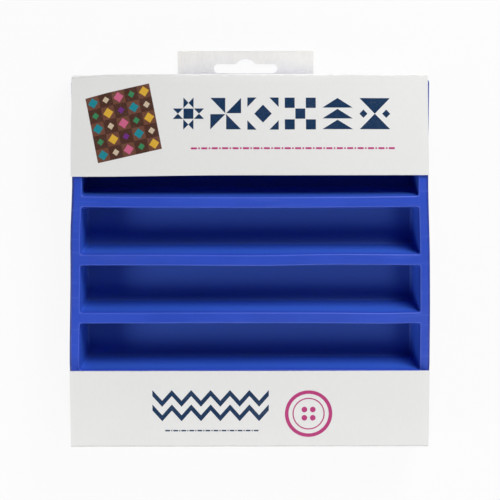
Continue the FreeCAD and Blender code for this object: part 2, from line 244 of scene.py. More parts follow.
def relaxTray(s, bm):
    height, *lengths = s["ripple"]
    for v in bm.verts:
        x, y, z = v.co
        up = max(z - (s["front"] - s["depth"]), 0) / s["depth"]
        line = round((y - s["middle"]) / s["pitch"])
        off = abs(y - s["middle"] - line * s["pitch"])
        if abs(x) < s["mouth"][0] and off < s["dividerReach"] and abs(line) < s["rows"] / 2:
            v.co.y += dividerShift(s, x, line) * up ** s["swayRise"]
        rise = (z - s["back"]) / (s["front"] - s["back"])
        leans = s["leanLeft"] if x < 0 else s["leanRight"]
        lean = sum(far * ramp(y, start, length) for far, start, length in leans)
        lean *= rise ** s["leanRise"] * ramp(abs(x), *s["leanSide"])
        v.co.x -= math.copysign(lean, x)
        wave = math.sin(x / lengths[0] + y / lengths[1]) * math.sin(y / lengths[2] - 1)
        v.co.z += height * wave * up


def makeTray(s):
    bm = bmesh.new()
    bmesh.ops.create_cube(bm, size=1)
    centre = Vector((0, s["middle"], (s["front"] + s["back"]) / 2))
    size = (2 * s["half"], 2 * s["half"], s["front"] - s["back"])
    bmesh.ops.scale(bm, vec=size, verts=bm.verts)
    bmesh.ops.translate(bm, vec=centre, verts=bm.verts)
    backVerts = [v for v in bm.verts if v.co.z < centre.z]
    bmesh.ops.scale(
        bm, vec=(s["taper"], s["taper"], 1), verts=backVerts, space=Matrix.Translation(-centre)
    )
    rowPlaces = [s["middle"] + (i - (s["rows"] - 1) / 2) * s["pitch"] for i in range(s["rows"])]
    facing = 0.9  # a normal's z past this is a front face
    cuts = [((side * s["mouth"][0], 0, 0), (1, 0, 0)) for side in (-1, 1)]
    cuts += [((0, y + side * s["mouth"][1], 0), (0, 1, 0)) for y in rowPlaces for side in (-1, 1)]
    for place, normal in cuts:
        front = [f for f in bm.faces if f.normal.z > facing]
        around = {e for f in front for e in f.edges} | {v for f in front for v in f.verts}
        slicePlane(bm, [*front, *around], place, normal)
    mouths = []
    for f in bm.faces:
        at = f.calc_center_median()
        if f.normal.z > facing and abs(at.x) < 1 and min(abs(at.y - y) for y in rowPlaces) < 1:
            mouths.append(f)
    floors = bmesh.ops.extrude_discrete_faces(bm, faces=mouths)["faces"]
    shrink = (s["floor"][0] / s["mouth"][0], s["floor"][1] / s["mouth"][1], 1)
    for f in floors:
        at = f.calc_center_median()
        bmesh.ops.scale(bm, vec=shrink, verts=f.verts, space=Matrix.Translation(-at))
        bmesh.ops.translate(bm, vec=(0, 0, -s["depth"]), verts=f.verts)
    floorZ = s["front"] - s["depth"]
    inner = s["mouth"][0] + 0.5  # a place between the rows and the outer walls
    outer = s["half"] - 0.6
    near = 1e-3

    def lowest(e):
        return min(v.co.z for v in e.verts)

    def allIn(e):
        return all(abs(v.co.x) < inner and abs(v.co.y - s["middle"]) < inner for v in e.verts)

    def allOut(e, pick):
        return all(pick(abs(v.co.x), abs(v.co.y - s["middle"])) > outer for v in e.verts)

    def atFront(e):
        return lowest(e) > s["front"] - near

    def turns(e, limit):
        return any(f.normal.z < limit for f in e.link_faces)

    inside = [e for e in bm.edges if s["back"] + 0.1 < lowest(e) < floorZ + 0.1 and allIn(e)]
    bevelEdges(bm, inside, s["rowRound"], 3)
    lips = [e for e in bm.edges if atFront(e) and turns(e, facing) and allIn(e)]
    bevelEdges(bm, lips, s["lipRound"], 3)
    upright = [
        e for e in bm.edges
        if abs(e.verts[0].co.z - e.verts[1].co.z) > s["depth"] / 2 and allOut(e, min)
    ]
    bevelEdges(bm, upright, s["cornerRound"], 6)
    rim = [e for e in bm.edges if atFront(e) and turns(e, 0.5) and allOut(e, max)]
    bevelEdges(bm, rim, s["rimRound"], 5)
    under = [
        e for e in bm.edges
        if all(v.co.z < s["back"] + near for v in e.verts)
        and any(f.normal.z > -0.5 for f in e.link_faces)
    ]
    bevelEdges(bm, under, s["backRound"], 3)
    along, across, moved = s["grid"]
    for i in range(-s["gridCount"], s["gridCount"] + 1):
        slicePlane(bm, wholeMesh(bm), (i * along, 0, 0), (1, 0, 0))
        slicePlane(bm, wholeMesh(bm), (0, i * across + moved, 0), (0, 1, 0))
    mould = bm.verts.layers.float_vector.new("mould")
    for v in bm.verts:
        v[mould] = v.co * mm
    relaxTray(s, bm)
    return bm


def finishPiece(bm, name, materials, smooth=True, sharpAngle=50):
    for f in bm.faces:
        f.smooth = smooth
    for e in bm.edges:
        if len(e.link_faces) == 2 and e.calc_face_angle(0) > math.radians(sharpAngle):
            e.smooth = False
    bmesh.ops.scale(bm, vec=(mm, mm, mm), verts=bm.verts)
    mesh = bpy.data.meshes.new(name)
    bm.to_mesh(mesh)
    bm.free()
    piece = bpy.data.objects.new(name, mesh)
    scene.collection.objects.link(piece)
    for material in materials:
        mesh.materials.append(material)
    if smooth:
        even = piece.modifiers.new("even", "WEIGHTED_NORMAL")
        even.keep_sharp = True
        even.weight = 50
    return piece


cardSet = {
    "half": 75.65,  # mm, half the card's width
    "board": 0.5,
    "bend": 1.0,  # outer radius of a crease
    "top": 73.375,
    "bottom": -83.475,
    "front": 20.55,
    "headerEdge": 31.275,
    "footerEdge": -50.675,
    "spring": 3.5,  # degrees that the footer flap stands open
    "springFold": ((0, -83.225, 19.8), (0, -82.725, 20.3)),  # where its bend starts and ends
    "hinge": 0.2929,  # of the bend, from the outer corner to the middle of its arc
    "tab": (29.4, 83.9, 0.7),  # half width, end, corner
    "tabShift": -1.6,
    "tabSlices": (76, 78.5, 81),
    "notch": (30.65, 10.836, 0.85),  # half width, height, corner
    "slot": (13.8, 74.35, 78.35),  # half width, low side, high side
    "arch": (4.2, 2.1, 5.25),  # half width, height, radius
    "archRound": 0.45,
    # how the folded board has settled; a range is where it starts and over what length
    "aboveBack": 0.6,  # heights that tell the panels apart
    "atFlaps": 15,
    "atFold": 19,
    "squeeze": 1.6,  # how much nearer the middle the header's sides are, at its crease
    "squeezeRange": (31, 42),
    "bow": 0.42,  # how far the top edge stands out in its middle
    "bowMiddle": 0.06,  # of half the width
    "bowRange": (31, 41),
    "bowRise": (18.6, 0.8),
    "ends": ((0.35, 58, 15), (-0.8, -60, -14)),  # how far its two ends stand out, and their ranges
    "endsRise": (8, 12),
    "endsRange": (45, 28),
    "flare": 0.4,  # how far the lower crease stands out
    "flareRange": (-58, -24),
    "lift": 0.4,  # how far the header flap rises in its middle, and the footer flap half as far
    "liftHeader": (64, -30),
    "liftFooter": (-80, 28),
    "edgeLow": (0.35, 0.6),  # how the header's free edge slants
    "edgeAcross": (-0.1, -0.8),
    "edgeRange": (60, -28),
    "tabCurl": (0.35, 74, 9.5),
}
# where the panels are sliced across, and the flaps along
columns = [cardSet["half"], 68.15, 60.65, 53.15, 45.65, 38.15, cardSet["notch"][0], 23, 15.3, 7.7]
columns = [-x for x in columns] + [0] + columns[::-1]
headerRungs = [70, 66, 62, 58, 54, 50, 46, 42, 38, 34.5, cardSet["headerEdge"]]
footerRungs = [-80, -77, -74, -71, -68, -65, -62, -59, -56, -53.3, cardSet["footerEdge"]]


def settleCard(s, x, y, z):
    across = x / s["half"]
    above = z > s["aboveBack"]
    if y > 0 and above:
        near = 0.5 + 0.5 * ramp(y, *s["squeezeRange"])
        x -= s["squeeze"] * across * min(z / s["atFold"], 1) * near
    elif y < 0 and above:
        y -= s["flare"] * ease(z / 20) * ramp(y, *s["flareRange"])
    if y > s["bowRange"][0] and above:
        height, power = s["bowRise"]
        if z > s["atFold"]:
            swell = ramp(y, *s["bowRange"])
        else:
            swell = ((z - s["aboveBack"]) / height) ** power
        y += s["bow"] * swell * max(1 - abs(across - s["bowMiddle"]) ** 4, 0)
        out = sum(far * ramp(x, start, length) for far, start, length in s["ends"])
        y += out * ramp(z, *s["endsRise"]) * ramp(y, *s["endsRange"])
    crown = s["lift"] * (1 - across * across)
    if z > s["atFlaps"] and y > 0:
        z += crown * ramp(y, *s["liftHeader"])
        out, drop = s["edgeLow"]
        y += (out - drop * ramp(across, *s["edgeAcross"])) * ramp(y, *s["edgeRange"])
    elif z > s["atFlaps"]:
        z += 0.5 * crown * ramp(y, *s["liftFooter"])
    elif not above and y > s["tabCurl"][1]:
        curl, start, length = s["tabCurl"]
        z += curl * ((y - start) / length) ** 2
    return Vector((x, y, z))


def alongSheet(s, y, z):  # a place's distance from the card's middle, along the board
    edge = s["top"] if y > 0 else -s["bottom"]
    y = abs(y)
    flat = edge - s["bend"]
    quarter = s["bend"] * math.pi / 2
    panel = s["front"] - 2 * s["bend"]
    if y <= flat or y > edge + 1e-3:
        if z < s["front"] / 2:
            return y
        return flat + 2 * quarter + panel + flat - y
    if z < s["bend"]:
        return flat + s["bend"] * math.atan2(y - flat, s["bend"] - z)
    if z <= s["front"] - s["bend"]:
        return flat + quarter + z - s["bend"]
    turned = math.atan2(z - s["front"] + s["bend"], y - flat)
    return flat + quarter + panel + s["bend"] * turned


def runSection(bm, edge, to, axis, steps=1):
    for i in range(steps):
        made = bmesh.ops.extrude_edge_only(bm, edges=[edge])["geom"]
        verts = newVerts(made)
        step = (to - verts[0].co[axis]) / (steps - i)
        bmesh.ops.translate(bm, vec=[step if k == axis else 0 for k in range(3)], verts=verts)
        lines = [g for g in made if isinstance(g, bmesh.types.BMEdge)]
        edge = next(e for e in lines if all(v in verts for v in e.verts))
    return edge


def foldSection(bm, edge, centre, degrees):
    made = bmesh.ops.spin(
        bm, geom=[edge, *edge.verts], cent=(0, *centre), axis=(1, 0, 0),
        angle=math.radians(degrees), steps=6, use_duplicate=False,
    )["geom_last"]
    return next(g for g in made if isinstance(g, bmesh.types.BMEdge))


def startSection(bm, outer, inner):
    verts = [bm.verts.new((-cardSet["half"], *p)) for p in (outer, inner)]
    return bm.edges.new(verts)


def pushAcross(bm, places, keep=None):
    faces = list(bm.faces)
    for i, x in enumerate(places):
        if keep:
            faces = [f for f in faces if keep(f, x)]
        made = bmesh.ops.extrude_face_region(bm, geom=faces)["geom"]
        verts = newVerts(made)
        bmesh.ops.translate(bm, vec=(x - verts[0].co.x, 0, 0), verts=verts)
        if i > 0:  # the slice that was the end is inside the board now
            bmesh.ops.delete(bm, geom=faces, context="FACES")
        faces = [g for g in made if isinstance(g, bmesh.types.BMFace)]


def springOpen(s, bm):
    inset = s["hinge"] * s["bend"]
    hinge = Vector((0, s["bottom"] + inset, s["front"] - inset))
    start, end = (Vector(p) for p in s["springFold"])
    run = end - start
    for v in bm.verts:
        t = ease((v.co - start).dot(run) / run.length_squared)
        turn = Matrix.Rotation(math.radians(s["spring"]) * t, 3, "X")
        flat = Vector((0, v.co.y, v.co.z)) - hinge
        v.co = Vector((v.co.x, 0, 0)) + hinge + turn @ flat


def settleAll(s, bm):
    for v in bm.verts:
        v.co = settleCard(s, *v.co)


def within(value, low, high):
    return min(max(value, low), high)


def finishCard(s, bm, name, materials, opened=None):
    bmesh.ops.recalc_face_normals(bm, faces=bm.faces)
    sheet = bm.verts.layers.float_vector.new("sheet")
    crease = bm.verts.layers.float.new("crease")
    near, inset = 0.01, 2
    for v in bm.verts:
        x, y, z = v.co
        v[sheet] = Vector((x, alongSheet(s, y, z), z)) * mm
        edge = s["top"] if y > 0 else -s["bottom"]
        inBend = max(edge - abs(y), min(z, s["front"] - z)) < s["bend"] - near
        v[crease] = 1.0 if inBend and abs(y) <= edge + near else 0.0
    for f in bm.faces:
        at = f.calc_center_median()
        middleY = within(at.y, s["bottom"] + inset, s["top"] - inset)
        middle = Vector((at.x, middleY, within(at.z, inset, s["front"] - inset)))
        if at.y > s["top"] and at.z < s["aboveBack"]:
            middle = Vector((at.x, at.y, inset))  # the hang tab's front is the card's inside
        outwards = f.normal.dot((at - middle).normalized())
        f.material_index = 0 if outwards > 0.5 else 2 if outwards < -0.5 else 1
    if opened:
        opened(s, bm)
    settleAll(s, bm)
    return finishPiece(bm, name, materials, sharpAngle=32)


def makeTopEdge(s):
    bm = bmesh.new()
    fold, low = s["top"] - s["bend"], s["bend"]
    edge = startSection(bm, (fold, 0), (fold, s["board"]))
    edge = foldSection(bm, edge, (fold, low), 90)
    edge = runSection(bm, edge, s["notch"][1], 2, 4)
    runSection(bm, edge, s["front"] - low, 2, 4)
    left = [x for x in columns if -s["half"] < x <= 0]
    wide, high, rounded = s["notch"]
    near = 0.01
    pushAcross(bm, left, lambda f, x: x < near - wide or f.calc_center_median().z > high)
    inMiddle = [f for f in bm.faces if abs(f.calc_center_median().x) < near]
    bmesh.ops.delete(bm, geom=inMiddle, context="FACES")
    corner = [
        e for e in bm.edges
        if all(abs(v.co.x + wide) < near and abs(v.co.z - high) < near for v in e.verts)
    ]
    bevelEdges(bm, corner, rounded, 4)
    bmesh.ops.mirror(bm, geom=wholeMesh(bm), axis="X", merge_dist=1e-3)
    return bm


def makeFlap(s, side):
    bm = bmesh.new()
    edgeY = s["top"] if side > 0 else s["bottom"]
    fold = edgeY - side * s["bend"]
    high = s["front"] - s["bend"]
    edge = startSection(bm, (edgeY, high), (edgeY - side * s["board"], high))
    edge = foldSection(bm, edge, (fold, high), 90 * side)
    for y in headerRungs if side > 0 else footerRungs:
        edge = runSection(bm, edge, y, 1)
    pushAcross(bm, columns[1:])
    return bm


def makeBottomEdge(s):
    bm = bmesh.new()
    fold, low = s["bottom"] + s["bend"], s["bend"]
    edge = startSection(bm, (fold, 0), (fold, s["board"]))
    edge = foldSection(bm, edge, (fold, low), -90)
    runSection(bm, edge, s["front"] - low, 2, 6)
    pushAcross(bm, columns[1:])
    return bm


def cornerVerts(bm, places):
    return [v for v in bm.verts for p in places if (v.co.xy - Vector(p)).length < 1e-3]


def roundCorners(bm, places, offset, segments):
    bmesh.ops.bevel(
        bm, geom=cornerVerts(bm, places), offset=offset, offset_type="OFFSET", affect="VERTICES",
        segments=segments, profile=0.5, material=-1,
    )


def makeBack(s):
    bm = bmesh.new()
    half, low, high = s["slot"]
    archHalf, archHeight, archRadius = s["arch"]
    corners = [(-half, high), (-half, low), (half, low), (half, high)]
    verts = [bm.verts.new((*p, 0)) for p in corners]
    archStart = bm.verts.new((archHalf, high, 0))
    spread = 2 * math.asin(archHalf / archRadius)
    bmesh.ops.spin(
        bm, geom=[archStart], cent=(0, high + archHeight - archRadius, 0), axis=(0, 0, 1),
        angle=spread, steps=14,
    )
    arch = [v for v in bm.verts if v.co.y > high - 1e-4 and abs(v.co.x) < archHalf + 1e-4]
    bm.faces.new([*verts, *sorted(arch, key=lambda v: -v.co.x)])
    roundCorners(bm, corners, (high - low) / 2 - 0.005, 7)
    roundCorners(bm, [(archHalf, high), (-archHalf, high)], s["archRound"], 3)
    tabHalf, tabEnd, tabRound = s["tab"]
    left, right = -s["half"], s["half"]
    bottom, top = s["bottom"] + s["bend"], s["top"] - s["bend"]
    outline = [
        (left, bottom), (right, bottom), (right, top), (tabHalf, top), (tabHalf, tabEnd),
        (-tabHalf, tabEnd), (-tabHalf, top), (left, top),
    ]
    bm.faces.new([bm.verts.new((*p, 0)) for p in outline])
    roundCorners(bm, [(tabHalf, tabEnd), (-tabHalf, tabEnd)], tabRound, 4)
    bmesh.ops.delete(bm, geom=list(bm.faces), context="FACES_ONLY")
    bmesh.ops.triangle_fill(bm, use_beauty=True, edges=bm.edges)
    tab = [v for v in bm.verts if v.co.y > top - 0.01 and abs(v.co.x) < tabHalf + 0.01]
    bmesh.ops.translate(bm, vec=(s["tabShift"], 0, 0), verts=tab)
    made = bmesh.ops.extrude_face_region(bm, geom=list(bm.faces))["geom"]
    bmesh.ops.translate(bm, vec=(0, 0, s["board"]), verts=newVerts(made))
    for y in s["tabSlices"]:
        slicePlane(bm, wholeMesh(bm), (0, y, 0), (0, 1, 0))
    return bm


inks = {
    "navy": (0.0045, 0.032, 0.096),
    "pink": (0.5, 0.04, 0.2),
    "brown": (0.075, 0.028, 0.018),
    "clay": (0.16, 0.062, 0.038),
    "cream": (0.62, 0.5, 0.36),
    "gold": (0.72, 0.42, 0.04),
    "teal": (0.01, 0.24, 0.3),
    "green": (0.04, 0.24, 0.1),
    "plum": (0.16, 0.03, 0.22),
    "rose": (0.62, 0.13, 0.25),
}
printSet = {
    "film": 0.03,  # mm that the ink stands proud
    "sunk": 0.02,  # and that it reaches into the board
    "blocks": (13.5, 57.0, 13.4, 15.8),  # middle, block side, spacing
    "kinds": ["star", "pinwheel", "diamond", "ninePatch", "geese", "hourglass"],
    "stitches": (18.2, 42.6, 90.0, 0.8),  # middle, length, thickness
    "stitchEvery": (4.4, 3.4),  # in the header's line and the footer's
    "stitchLength": 0.58,  # of its spacing
    "patch": (-53.4, 53.2, 27.5, 12.0),  # middle, side, degrees
    "patchColours": ["teal", "plum", "gold", "green", "rose", "cream"],
    # middle, two heights, length, height, thickness, zigzags
    "ribbons": (-16.5, (-62.4, -68.6), 49.0, 4.6, 1.7, 12),
    "underline": (-16.0, -76.2, 43.0, 0.6),
    "button": (24.8, -69.0, 10.0),  # middle, radius
    "buttonRings": ((1, 1.5), (0.68, 0.5)),  # of its radius, and how wide
    "buttonHoles": (2.5, 1.2),  # from its middle, and their radius
}


def inked(bm, verts, ink):
    layer = bm.faces.layers.int["ink"]
    for f in {f for v in verts for f in v.link_faces}:
        f[layer] = list(inks).index(ink)


def addShape(bm, sides, at, radius, ink, degrees=0.0, stretch=(1, 1), into=None):
    place = Matrix.Translation((*at, 0)) @ Matrix.Rotation(math.radians(degrees), 4, "Z")
    place = place @ Matrix.Diagonal((*stretch, 1, 1))
    if into:
        place = into @ place
    if sides == 4:
        place = place @ Matrix.Rotation(math.pi / 4, 4, "Z")
    made = bmesh.ops.create_circle(
        bm, cap_ends=True, radius=radius, segments=sides, matrix=place
    )["verts"]
    inked(bm, made, ink)
    return made


def addSquare(bm, at, side, ink, degrees=0.0, stretch=(1, 1), into=None):
    return addShape(bm, 4, at, side / math.sqrt(2), ink, degrees, stretch, into)


def trimShape(bm, verts, through, normal):
    faces = {f for v in verts for f in v.link_faces}
    around = [*faces, *{e for f in faces for e in f.edges}, *verts]
    return newVerts(slicePlane(bm, around, through, normal, 1e-5, clear_outer=True))


def addCorner(bm, at, side, ink, leans, into):
    made = addSquare(bm, at, side, ink, into=into)
    for lean in leans:
        a = math.radians(lean)
        normal = into.to_3x3() @ Vector((math.cos(a), math.sin(a), 0))
        made = trimShape(bm, made, into @ Vector((*at, 0)), normal)


def addRing(bm, at, radius, width, ink):
    made = addShape(bm, 48, at, radius, ink)
    disc = list({f for v in made for f in v.link_faces})
    bmesh.ops.inset_region(bm, faces=disc, thickness=width, use_even_offset=True, use_boundary=True)
    bmesh.ops.delete(bm, geom=disc, context="FACES_ONLY")
    inked(bm, made, ink)


def addBlock(bm, at, side, kind, ink):
    middle = Matrix.Translation((*at, 0))
    half, third = side / 2, side / 3
    quarters = [middle @ Matrix.Rotation(math.radians(90 * i), 4, "Z") for i in range(4)]
    if kind in ("star", "diamond", "ninePatch"):
        inner = half * 0.78 if kind == "diamond" else third * 0.94
        addSquare(bm, (0, 0), inner, ink, 45 if kind == "diamond" else 0, into=middle)
    if kind == "hourglass":
        for lean in (90, -90):
            addCorner(bm, (0, 0), side * 0.96, ink, (lean + 135, lean - 135), middle)
        for x in (-1, 1):
            addSquare(bm, (x * half * 0.72, 0), half * 0.36, ink, 45, into=middle)
    if kind == "geese":
        for i in (-1, 0, 1):
            wide, high = side * 0.96 / math.sqrt(3), third * 0.88 / 1.5
            addShape(bm, 3, (0, i * third - high / 4), 1, ink, 0, (wide, high), middle)
    for turn in quarters:
        if kind == "pinwheel":
            addCorner(bm, (half / 2, half / 2), half * 0.94, ink, (135,), turn)
        elif kind == "diamond":
            addCorner(bm, (half * 0.7, half * 0.7), half * 0.58, ink, (225,), turn)
        elif kind == "ninePatch":
            addSquare(bm, (third, third), third * 0.94, ink, into=turn)
        elif kind == "star":
            for lean in (0, 180):
                addCorner(bm, (0, third), third * 0.96, ink, (lean + 135, lean - 135), turn)


def addStitches(bm, x, y, length, thick, ink, every):
    count = int(length / every)
    for i in range(count):
        at = x + (i - (count - 1) / 2) * every
        addSquare(bm, (at, y), thick, ink, stretch=(every * printSet["stitchLength"] / thick, 1))
        if i < count - 1:
            addShape(bm, 12, (at + every / 2, y), thick * 0.5, ink)


def addPatchwork(bm, x, y, side, degrees):
    into = Matrix.Translation((x, y, 0)) @ Matrix.Rotation(math.radians(degrees), 4, "Z")
    count, layer = 5, 0.01  # cells each way, and how far each layer is above the last
    cell = side / count
    colours = printSet["patchColours"]
    addSquare(bm, (0, 0), side, "brown", into=into)
    for i in range(count * count):
        at = ((i % count - 2) * cell, (i // count - 2) * cell)
        if i % 2 == 0:
            made = addSquare(bm, at, cell * 0.97, "clay", into=into)
            bmesh.ops.translate(bm, vec=(0, 0, layer), verts=made)
        ink = colours[(i * 5 + i // count * 2) % len(colours)]
        made = addSquare(bm, at, cell * (0.38 if i % 2 else 0.56), ink, 45, into=into)
        bmesh.ops.translate(bm, vec=(0, 0, 2 * layer), verts=made)


def addRibbon(bm, x, y, length, high, thick, count, ink):
    step = length / count
    slope = math.degrees(math.atan2(high, step))
    verts = set()
    for i in range(count):
        at = x + (i + 0.5 - count / 2) * step
        # a bar longer than one zig, trimmed at both of its ends
        made = addSquare(bm, (at, y), thick, ink, slope if i % 2 else -slope, (20 / thick, 1))
        for side in (1, -1):
            made = trimShape(bm, made, (at + side * step / 2, 0, 0), (side, 0, 0))
        verts.update(made)
    bmesh.ops.remove_doubles(bm, verts=list(verts), dist=1e-3)


def drawHeader(bm):
    s = printSet
    x, y, side, step = s["blocks"]
    for i, kind in enumerate(s["kinds"]):
        addBlock(bm, (x + (i - (len(s["kinds"]) - 1) / 2) * step, y), side, kind, "navy")
    addStitches(bm, *s["stitches"], "pink", s["stitchEvery"][0])
    addPatchwork(bm, *s["patch"])


def drawFooter(bm):
    s = printSet
    x, heights, *rest = s["ribbons"]
    for y in heights:
        addRibbon(bm, x, y, *rest, "navy")
    addStitches(bm, *s["underline"], "navy", s["stitchEvery"][1])
    x, y, radius = s["button"]
    for share, width in s["buttonRings"]:
        addRing(bm, (x, y), radius * share, width, "pink")
    away, hole = s["buttonHoles"]
    for i in range(4):
        a = math.radians(45 + 90 * i)
        addShape(bm, 20, (x + away * math.cos(a), y + away * math.sin(a)), hole, "pink")


def makePrint(s, draw, rungs):
    bm = bmesh.new()
    bm.faces.layers.int.new("ink")
    draw(bm)
    for axis, places in enumerate((columns, rungs)):
        for p in places[1:-1]:
            normal = Vector((0, 0, 0))
            normal[axis] = 1
            slicePlane(bm, wholeMesh(bm), normal * p, normal, 1e-5)
    made = bmesh.ops.extrude_face_region(bm, geom=list(bm.faces))["geom"]
    bmesh.ops.translate(bm, vec=(0, 0, s["film"] + s["sunk"]), verts=newVerts(made))
    bmesh.ops.recalc_face_normals(bm, faces=bm.faces)
    bmesh.ops.translate(bm, vec=(0, 0, cardSet["front"] - s["sunk"]), verts=bm.verts)
    layer = bm.faces.layers.int["ink"]
    paint = bm.loops.layers.float_color.new("inkColour")
    for f in bm.faces:
        for loop in f.loops:
            loop[paint] = (*list(inks.values())[f[layer]], 1)
    return bm


def newFinish(name):
    material = bpy.data.materials.new(name)
    material.use_nodes = True
    return material, material.node_tree, material.node_tree.nodes["Principled BSDF"]


def putIn(tree, socket, value):
    if isinstance(value, bpy.types.NodeSocket):
        tree.links.new(value, socket)
    elif isinstance(value, tuple) and len(value) == 3 and socket.type == "RGBA":
        socket.default_value = (*value, 1)
    else:
        socket.default_value = value


def addMath(tree, operation, *values):
    node = tree.nodes.new("ShaderNodeMath")
    node.operation = operation
    for i, value in enumerate(values):
        putIn(tree, node.inputs[i], value)
    return node.outputs[0]


def addRange(tree, value, low, high, toLow=0.0, toHigh=1.0):
    node = tree.nodes.new("ShaderNodeMapRange")
    node.interpolation_type = "SMOOTHSTEP"
    for i, v in enumerate((value, low, high, toLow, toHigh)):
        putIn(tree, node.inputs[i], v)
    return node.outputs[0]


def addMix(tree, share, first, second):
    node = tree.nodes.new("ShaderNodeMix")
    node.data_type = "RGBA"
    putIn(tree, node.inputs[0], share)
    putIn(tree, node.inputs[6], first)
    putIn(tree, node.inputs[7], second)
    return node.outputs[2]


def addAttribute(tree, name, output="Vector"):
    node = tree.nodes.new("ShaderNodeAttribute")
    node.attribute_name = name
    return node.outputs[output]


def addNoise(tree, where, size, detail=2.0, stretch=(1, 1, 1)):
    place = tree.nodes.new("ShaderNodeMapping")
    place.inputs["Scale"].default_value = [1 / (size * mm * s) for s in stretch]
    tree.links.new(where, place.inputs["Vector"])
    node = tree.nodes.new("ShaderNodeTexNoise")
    node.inputs["Scale"].default_value = 1
    node.inputs["Detail"].default_value = detail
    tree.links.new(place.outputs[0], node.inputs["Vector"])
    return node.outputs[0]


def addBump(tree, height, depth, normal=None):
    node = tree.nodes.new("ShaderNodeBump")
    node.inputs["Strength"].default_value = 1
    node.inputs["Distance"].default_value = depth * mm
    tree.links.new(height, node.inputs["Height"])
    if normal:
        tree.links.new(normal, node.inputs["Normal"])
    return node.outputs[0]


noiseSpread = (0.3, 0.7)  # the part of a noise's values that most places have

vinylSet = {
    "colour": (0.03, 0.083, 0.57),
    "deeper": (0.026, 0.074, 0.52),
    "wall": (0.035, 0.112, 0.57),  # paler blue inside the rows, where the light reaches twice: a painted reflection
    "wallFrom": (3.2, 1.2),  # mm below the front, where the painted reflection is full and where it ends
    # a darker blue on the row floors: painted shade at the bottom of the rows
    "floor": (0.038, 0.107, 0.47),
    "floorRough": 0.72,
    "floorHeight": 1.5,
    "paintedSideShade": (0.016, 0.045, 0.34),  # darker blue on the thick outer walls: painted shade on the sides
    "paintedSideShadeFrom": (1.3, 0.6),  # mm in from the outer walls, where the painted shade starts and where it is full
    "highlightStreak": (1.6, 16),  # paler streaks on the tops, a painted highlight: size, and how many times longer along the rows
    "highlightStreakLevels": (0.56, 0.72),
    "highlightStreakShare": 0.3,
    "lipHighlight": (0.075, 0.14, 0.66),  # paler blue along the thin edges of the row mouths: a painted highlight
    "lipHighlightShare": 0.5,
    "lipBand": (0.15, 0.35),  # mm, from the mouth to its middle, and half its width
    "topFrom": (0.7, 0.2),  # mm below the front
    "rough": (0.36, 0.5),
    "grainRough": 0.03,
    "gloss": 0.4,
    "cloud": 24,  # sizes and depths in mm
    "cloudLevels": (0.35, 0.65),
    "flow": (12, 6),  # streaks of the moulding, and how many times longer along the rows
    "flowDepth": 0.1,
    "grain": 0.5,
    "grainDepth": 0.004,
}


def makeVinyl(s, t):
    material, tree, shader = newFinish("trayVinyl")
    mould = addAttribute(tree, "mould")
    parts = tree.nodes.new("ShaderNodeSeparateXYZ")
    tree.links.new(mould, parts.inputs[0])
    height = parts.outputs[2]
    sideways = addMath(tree, "ABSOLUTE", parts.outputs[0])
    endways = addMath(tree, "SUBTRACT", parts.outputs[1], t["middle"] * mm)
    cloud = addNoise(tree, mould, s["cloud"], 3)
    flow = addNoise(tree, mould, s["flow"][0], 2, (s["flow"][1], 1, 1))
    grain = addNoise(tree, mould, s["grain"], 2)
    highlightStreak = addNoise(tree, mould, s["highlightStreak"][0], 3, (s["highlightStreak"][1], 1, 1))

    def below(far):
        return (t["front"] - far) * mm

    # distance from the nearest divider's middle, then from its lips
    across = addMath(tree, "PINGPONG", endways, t["pitch"] / 2 * mm)
    lipAt = t["pitch"] / 2 - t["mouth"][1]
    out, half = s["lipBand"]
    alongRow = addMath(tree, "COMPARE", across, (lipAt - out) * mm, half * mm)
    inRow = addMath(tree, "LESS_THAN", sideways, (t["mouth"][0] + 0.2) * mm)
    atEnd = addMath(tree, "COMPARE", sideways, (t["mouth"][0] + out) * mm, half * mm)
    inMouth = addMath(tree, "GREATER_THAN", across, lipAt * mm)
    alongRow = addMath(tree, "MULTIPLY", alongRow, inRow)
    atEnd = addMath(tree, "MULTIPLY", atEnd, inMouth)
    onTop = addRange(tree, height, *(below(far) for far in s["topFrom"]))
    # lips: a painted highlight along the mouths of the rows, on the top only
    lips = addMath(tree, "MULTIPLY", addMath(tree, "MAXIMUM", alongRow, atEnd), onTop)
    lips = addMath(tree, "MULTIPLY", lips, s["lipHighlightShare"])
    # painted highlight streaks on the tops, joined to the lips' painted highlight
    highlightStreak = addRange(tree, highlightStreak, *s["highlightStreakLevels"], 0, s["highlightStreakShare"])
    lips = addMath(tree, "MAXIMUM", lips, addMath(tree, "MULTIPLY", highlightStreak, onTop))

    low = below(t["depth"])
    aboveFloor = low + s["floorHeight"] * mm
    # near the outer walls, which get a painted shade
    outer = addMath(tree, "MAXIMUM", addMath(tree, "ABSOLUTE", endways), sideways)
    outer = addRange(tree, outer, *((t["half"] - far) * mm for far in s["paintedSideShadeFrom"]))
    atTop = addRange(tree, height, *(below(far) for far in s["wallFrom"]))
    colour = addMix(tree, addRange(tree, cloud, *s["cloudLevels"]), s["colour"], s["deeper"])
    # a painted reflection: paler blue inside the rows, below the top
    colour = addMix(tree, atTop, s["wall"], colour)
    # painted shade on the row floors
    colour = addMix(tree, addRange(tree, height, low, aboveFloor), s["floor"], colour)
    colour = addMix(tree, outer, colour, s["paintedSideShade"])
    # painted highlights: paler lips and streaks on the tops
    putIn(tree, shader.inputs["Base Color"], addMix(tree, lips, colour, s["lipHighlight"]))

    rough = addRange(tree, flow, *noiseSpread, *s["rough"])
    atFloor = addRange(tree, height, aboveFloor, low)
    rough = addMath(tree, "MAXIMUM", rough, addMath(tree, "MULTIPLY", atFloor, s["floorRough"]))
    finer = addRange(tree, grain, *noiseSpread, -s["grainRough"], s["grainRough"])
    putIn(tree, shader.inputs["Roughness"], addMath(tree, "ADD", rough, finer))
    shader.inputs["Specular IOR Level"].default_value = s["gloss"]
    uneven = addBump(tree, flow, s["flowDepth"])
    putIn(tree, shader.inputs["Normal"], addBump(tree, grain, s["grainDepth"], uneven))
    return material


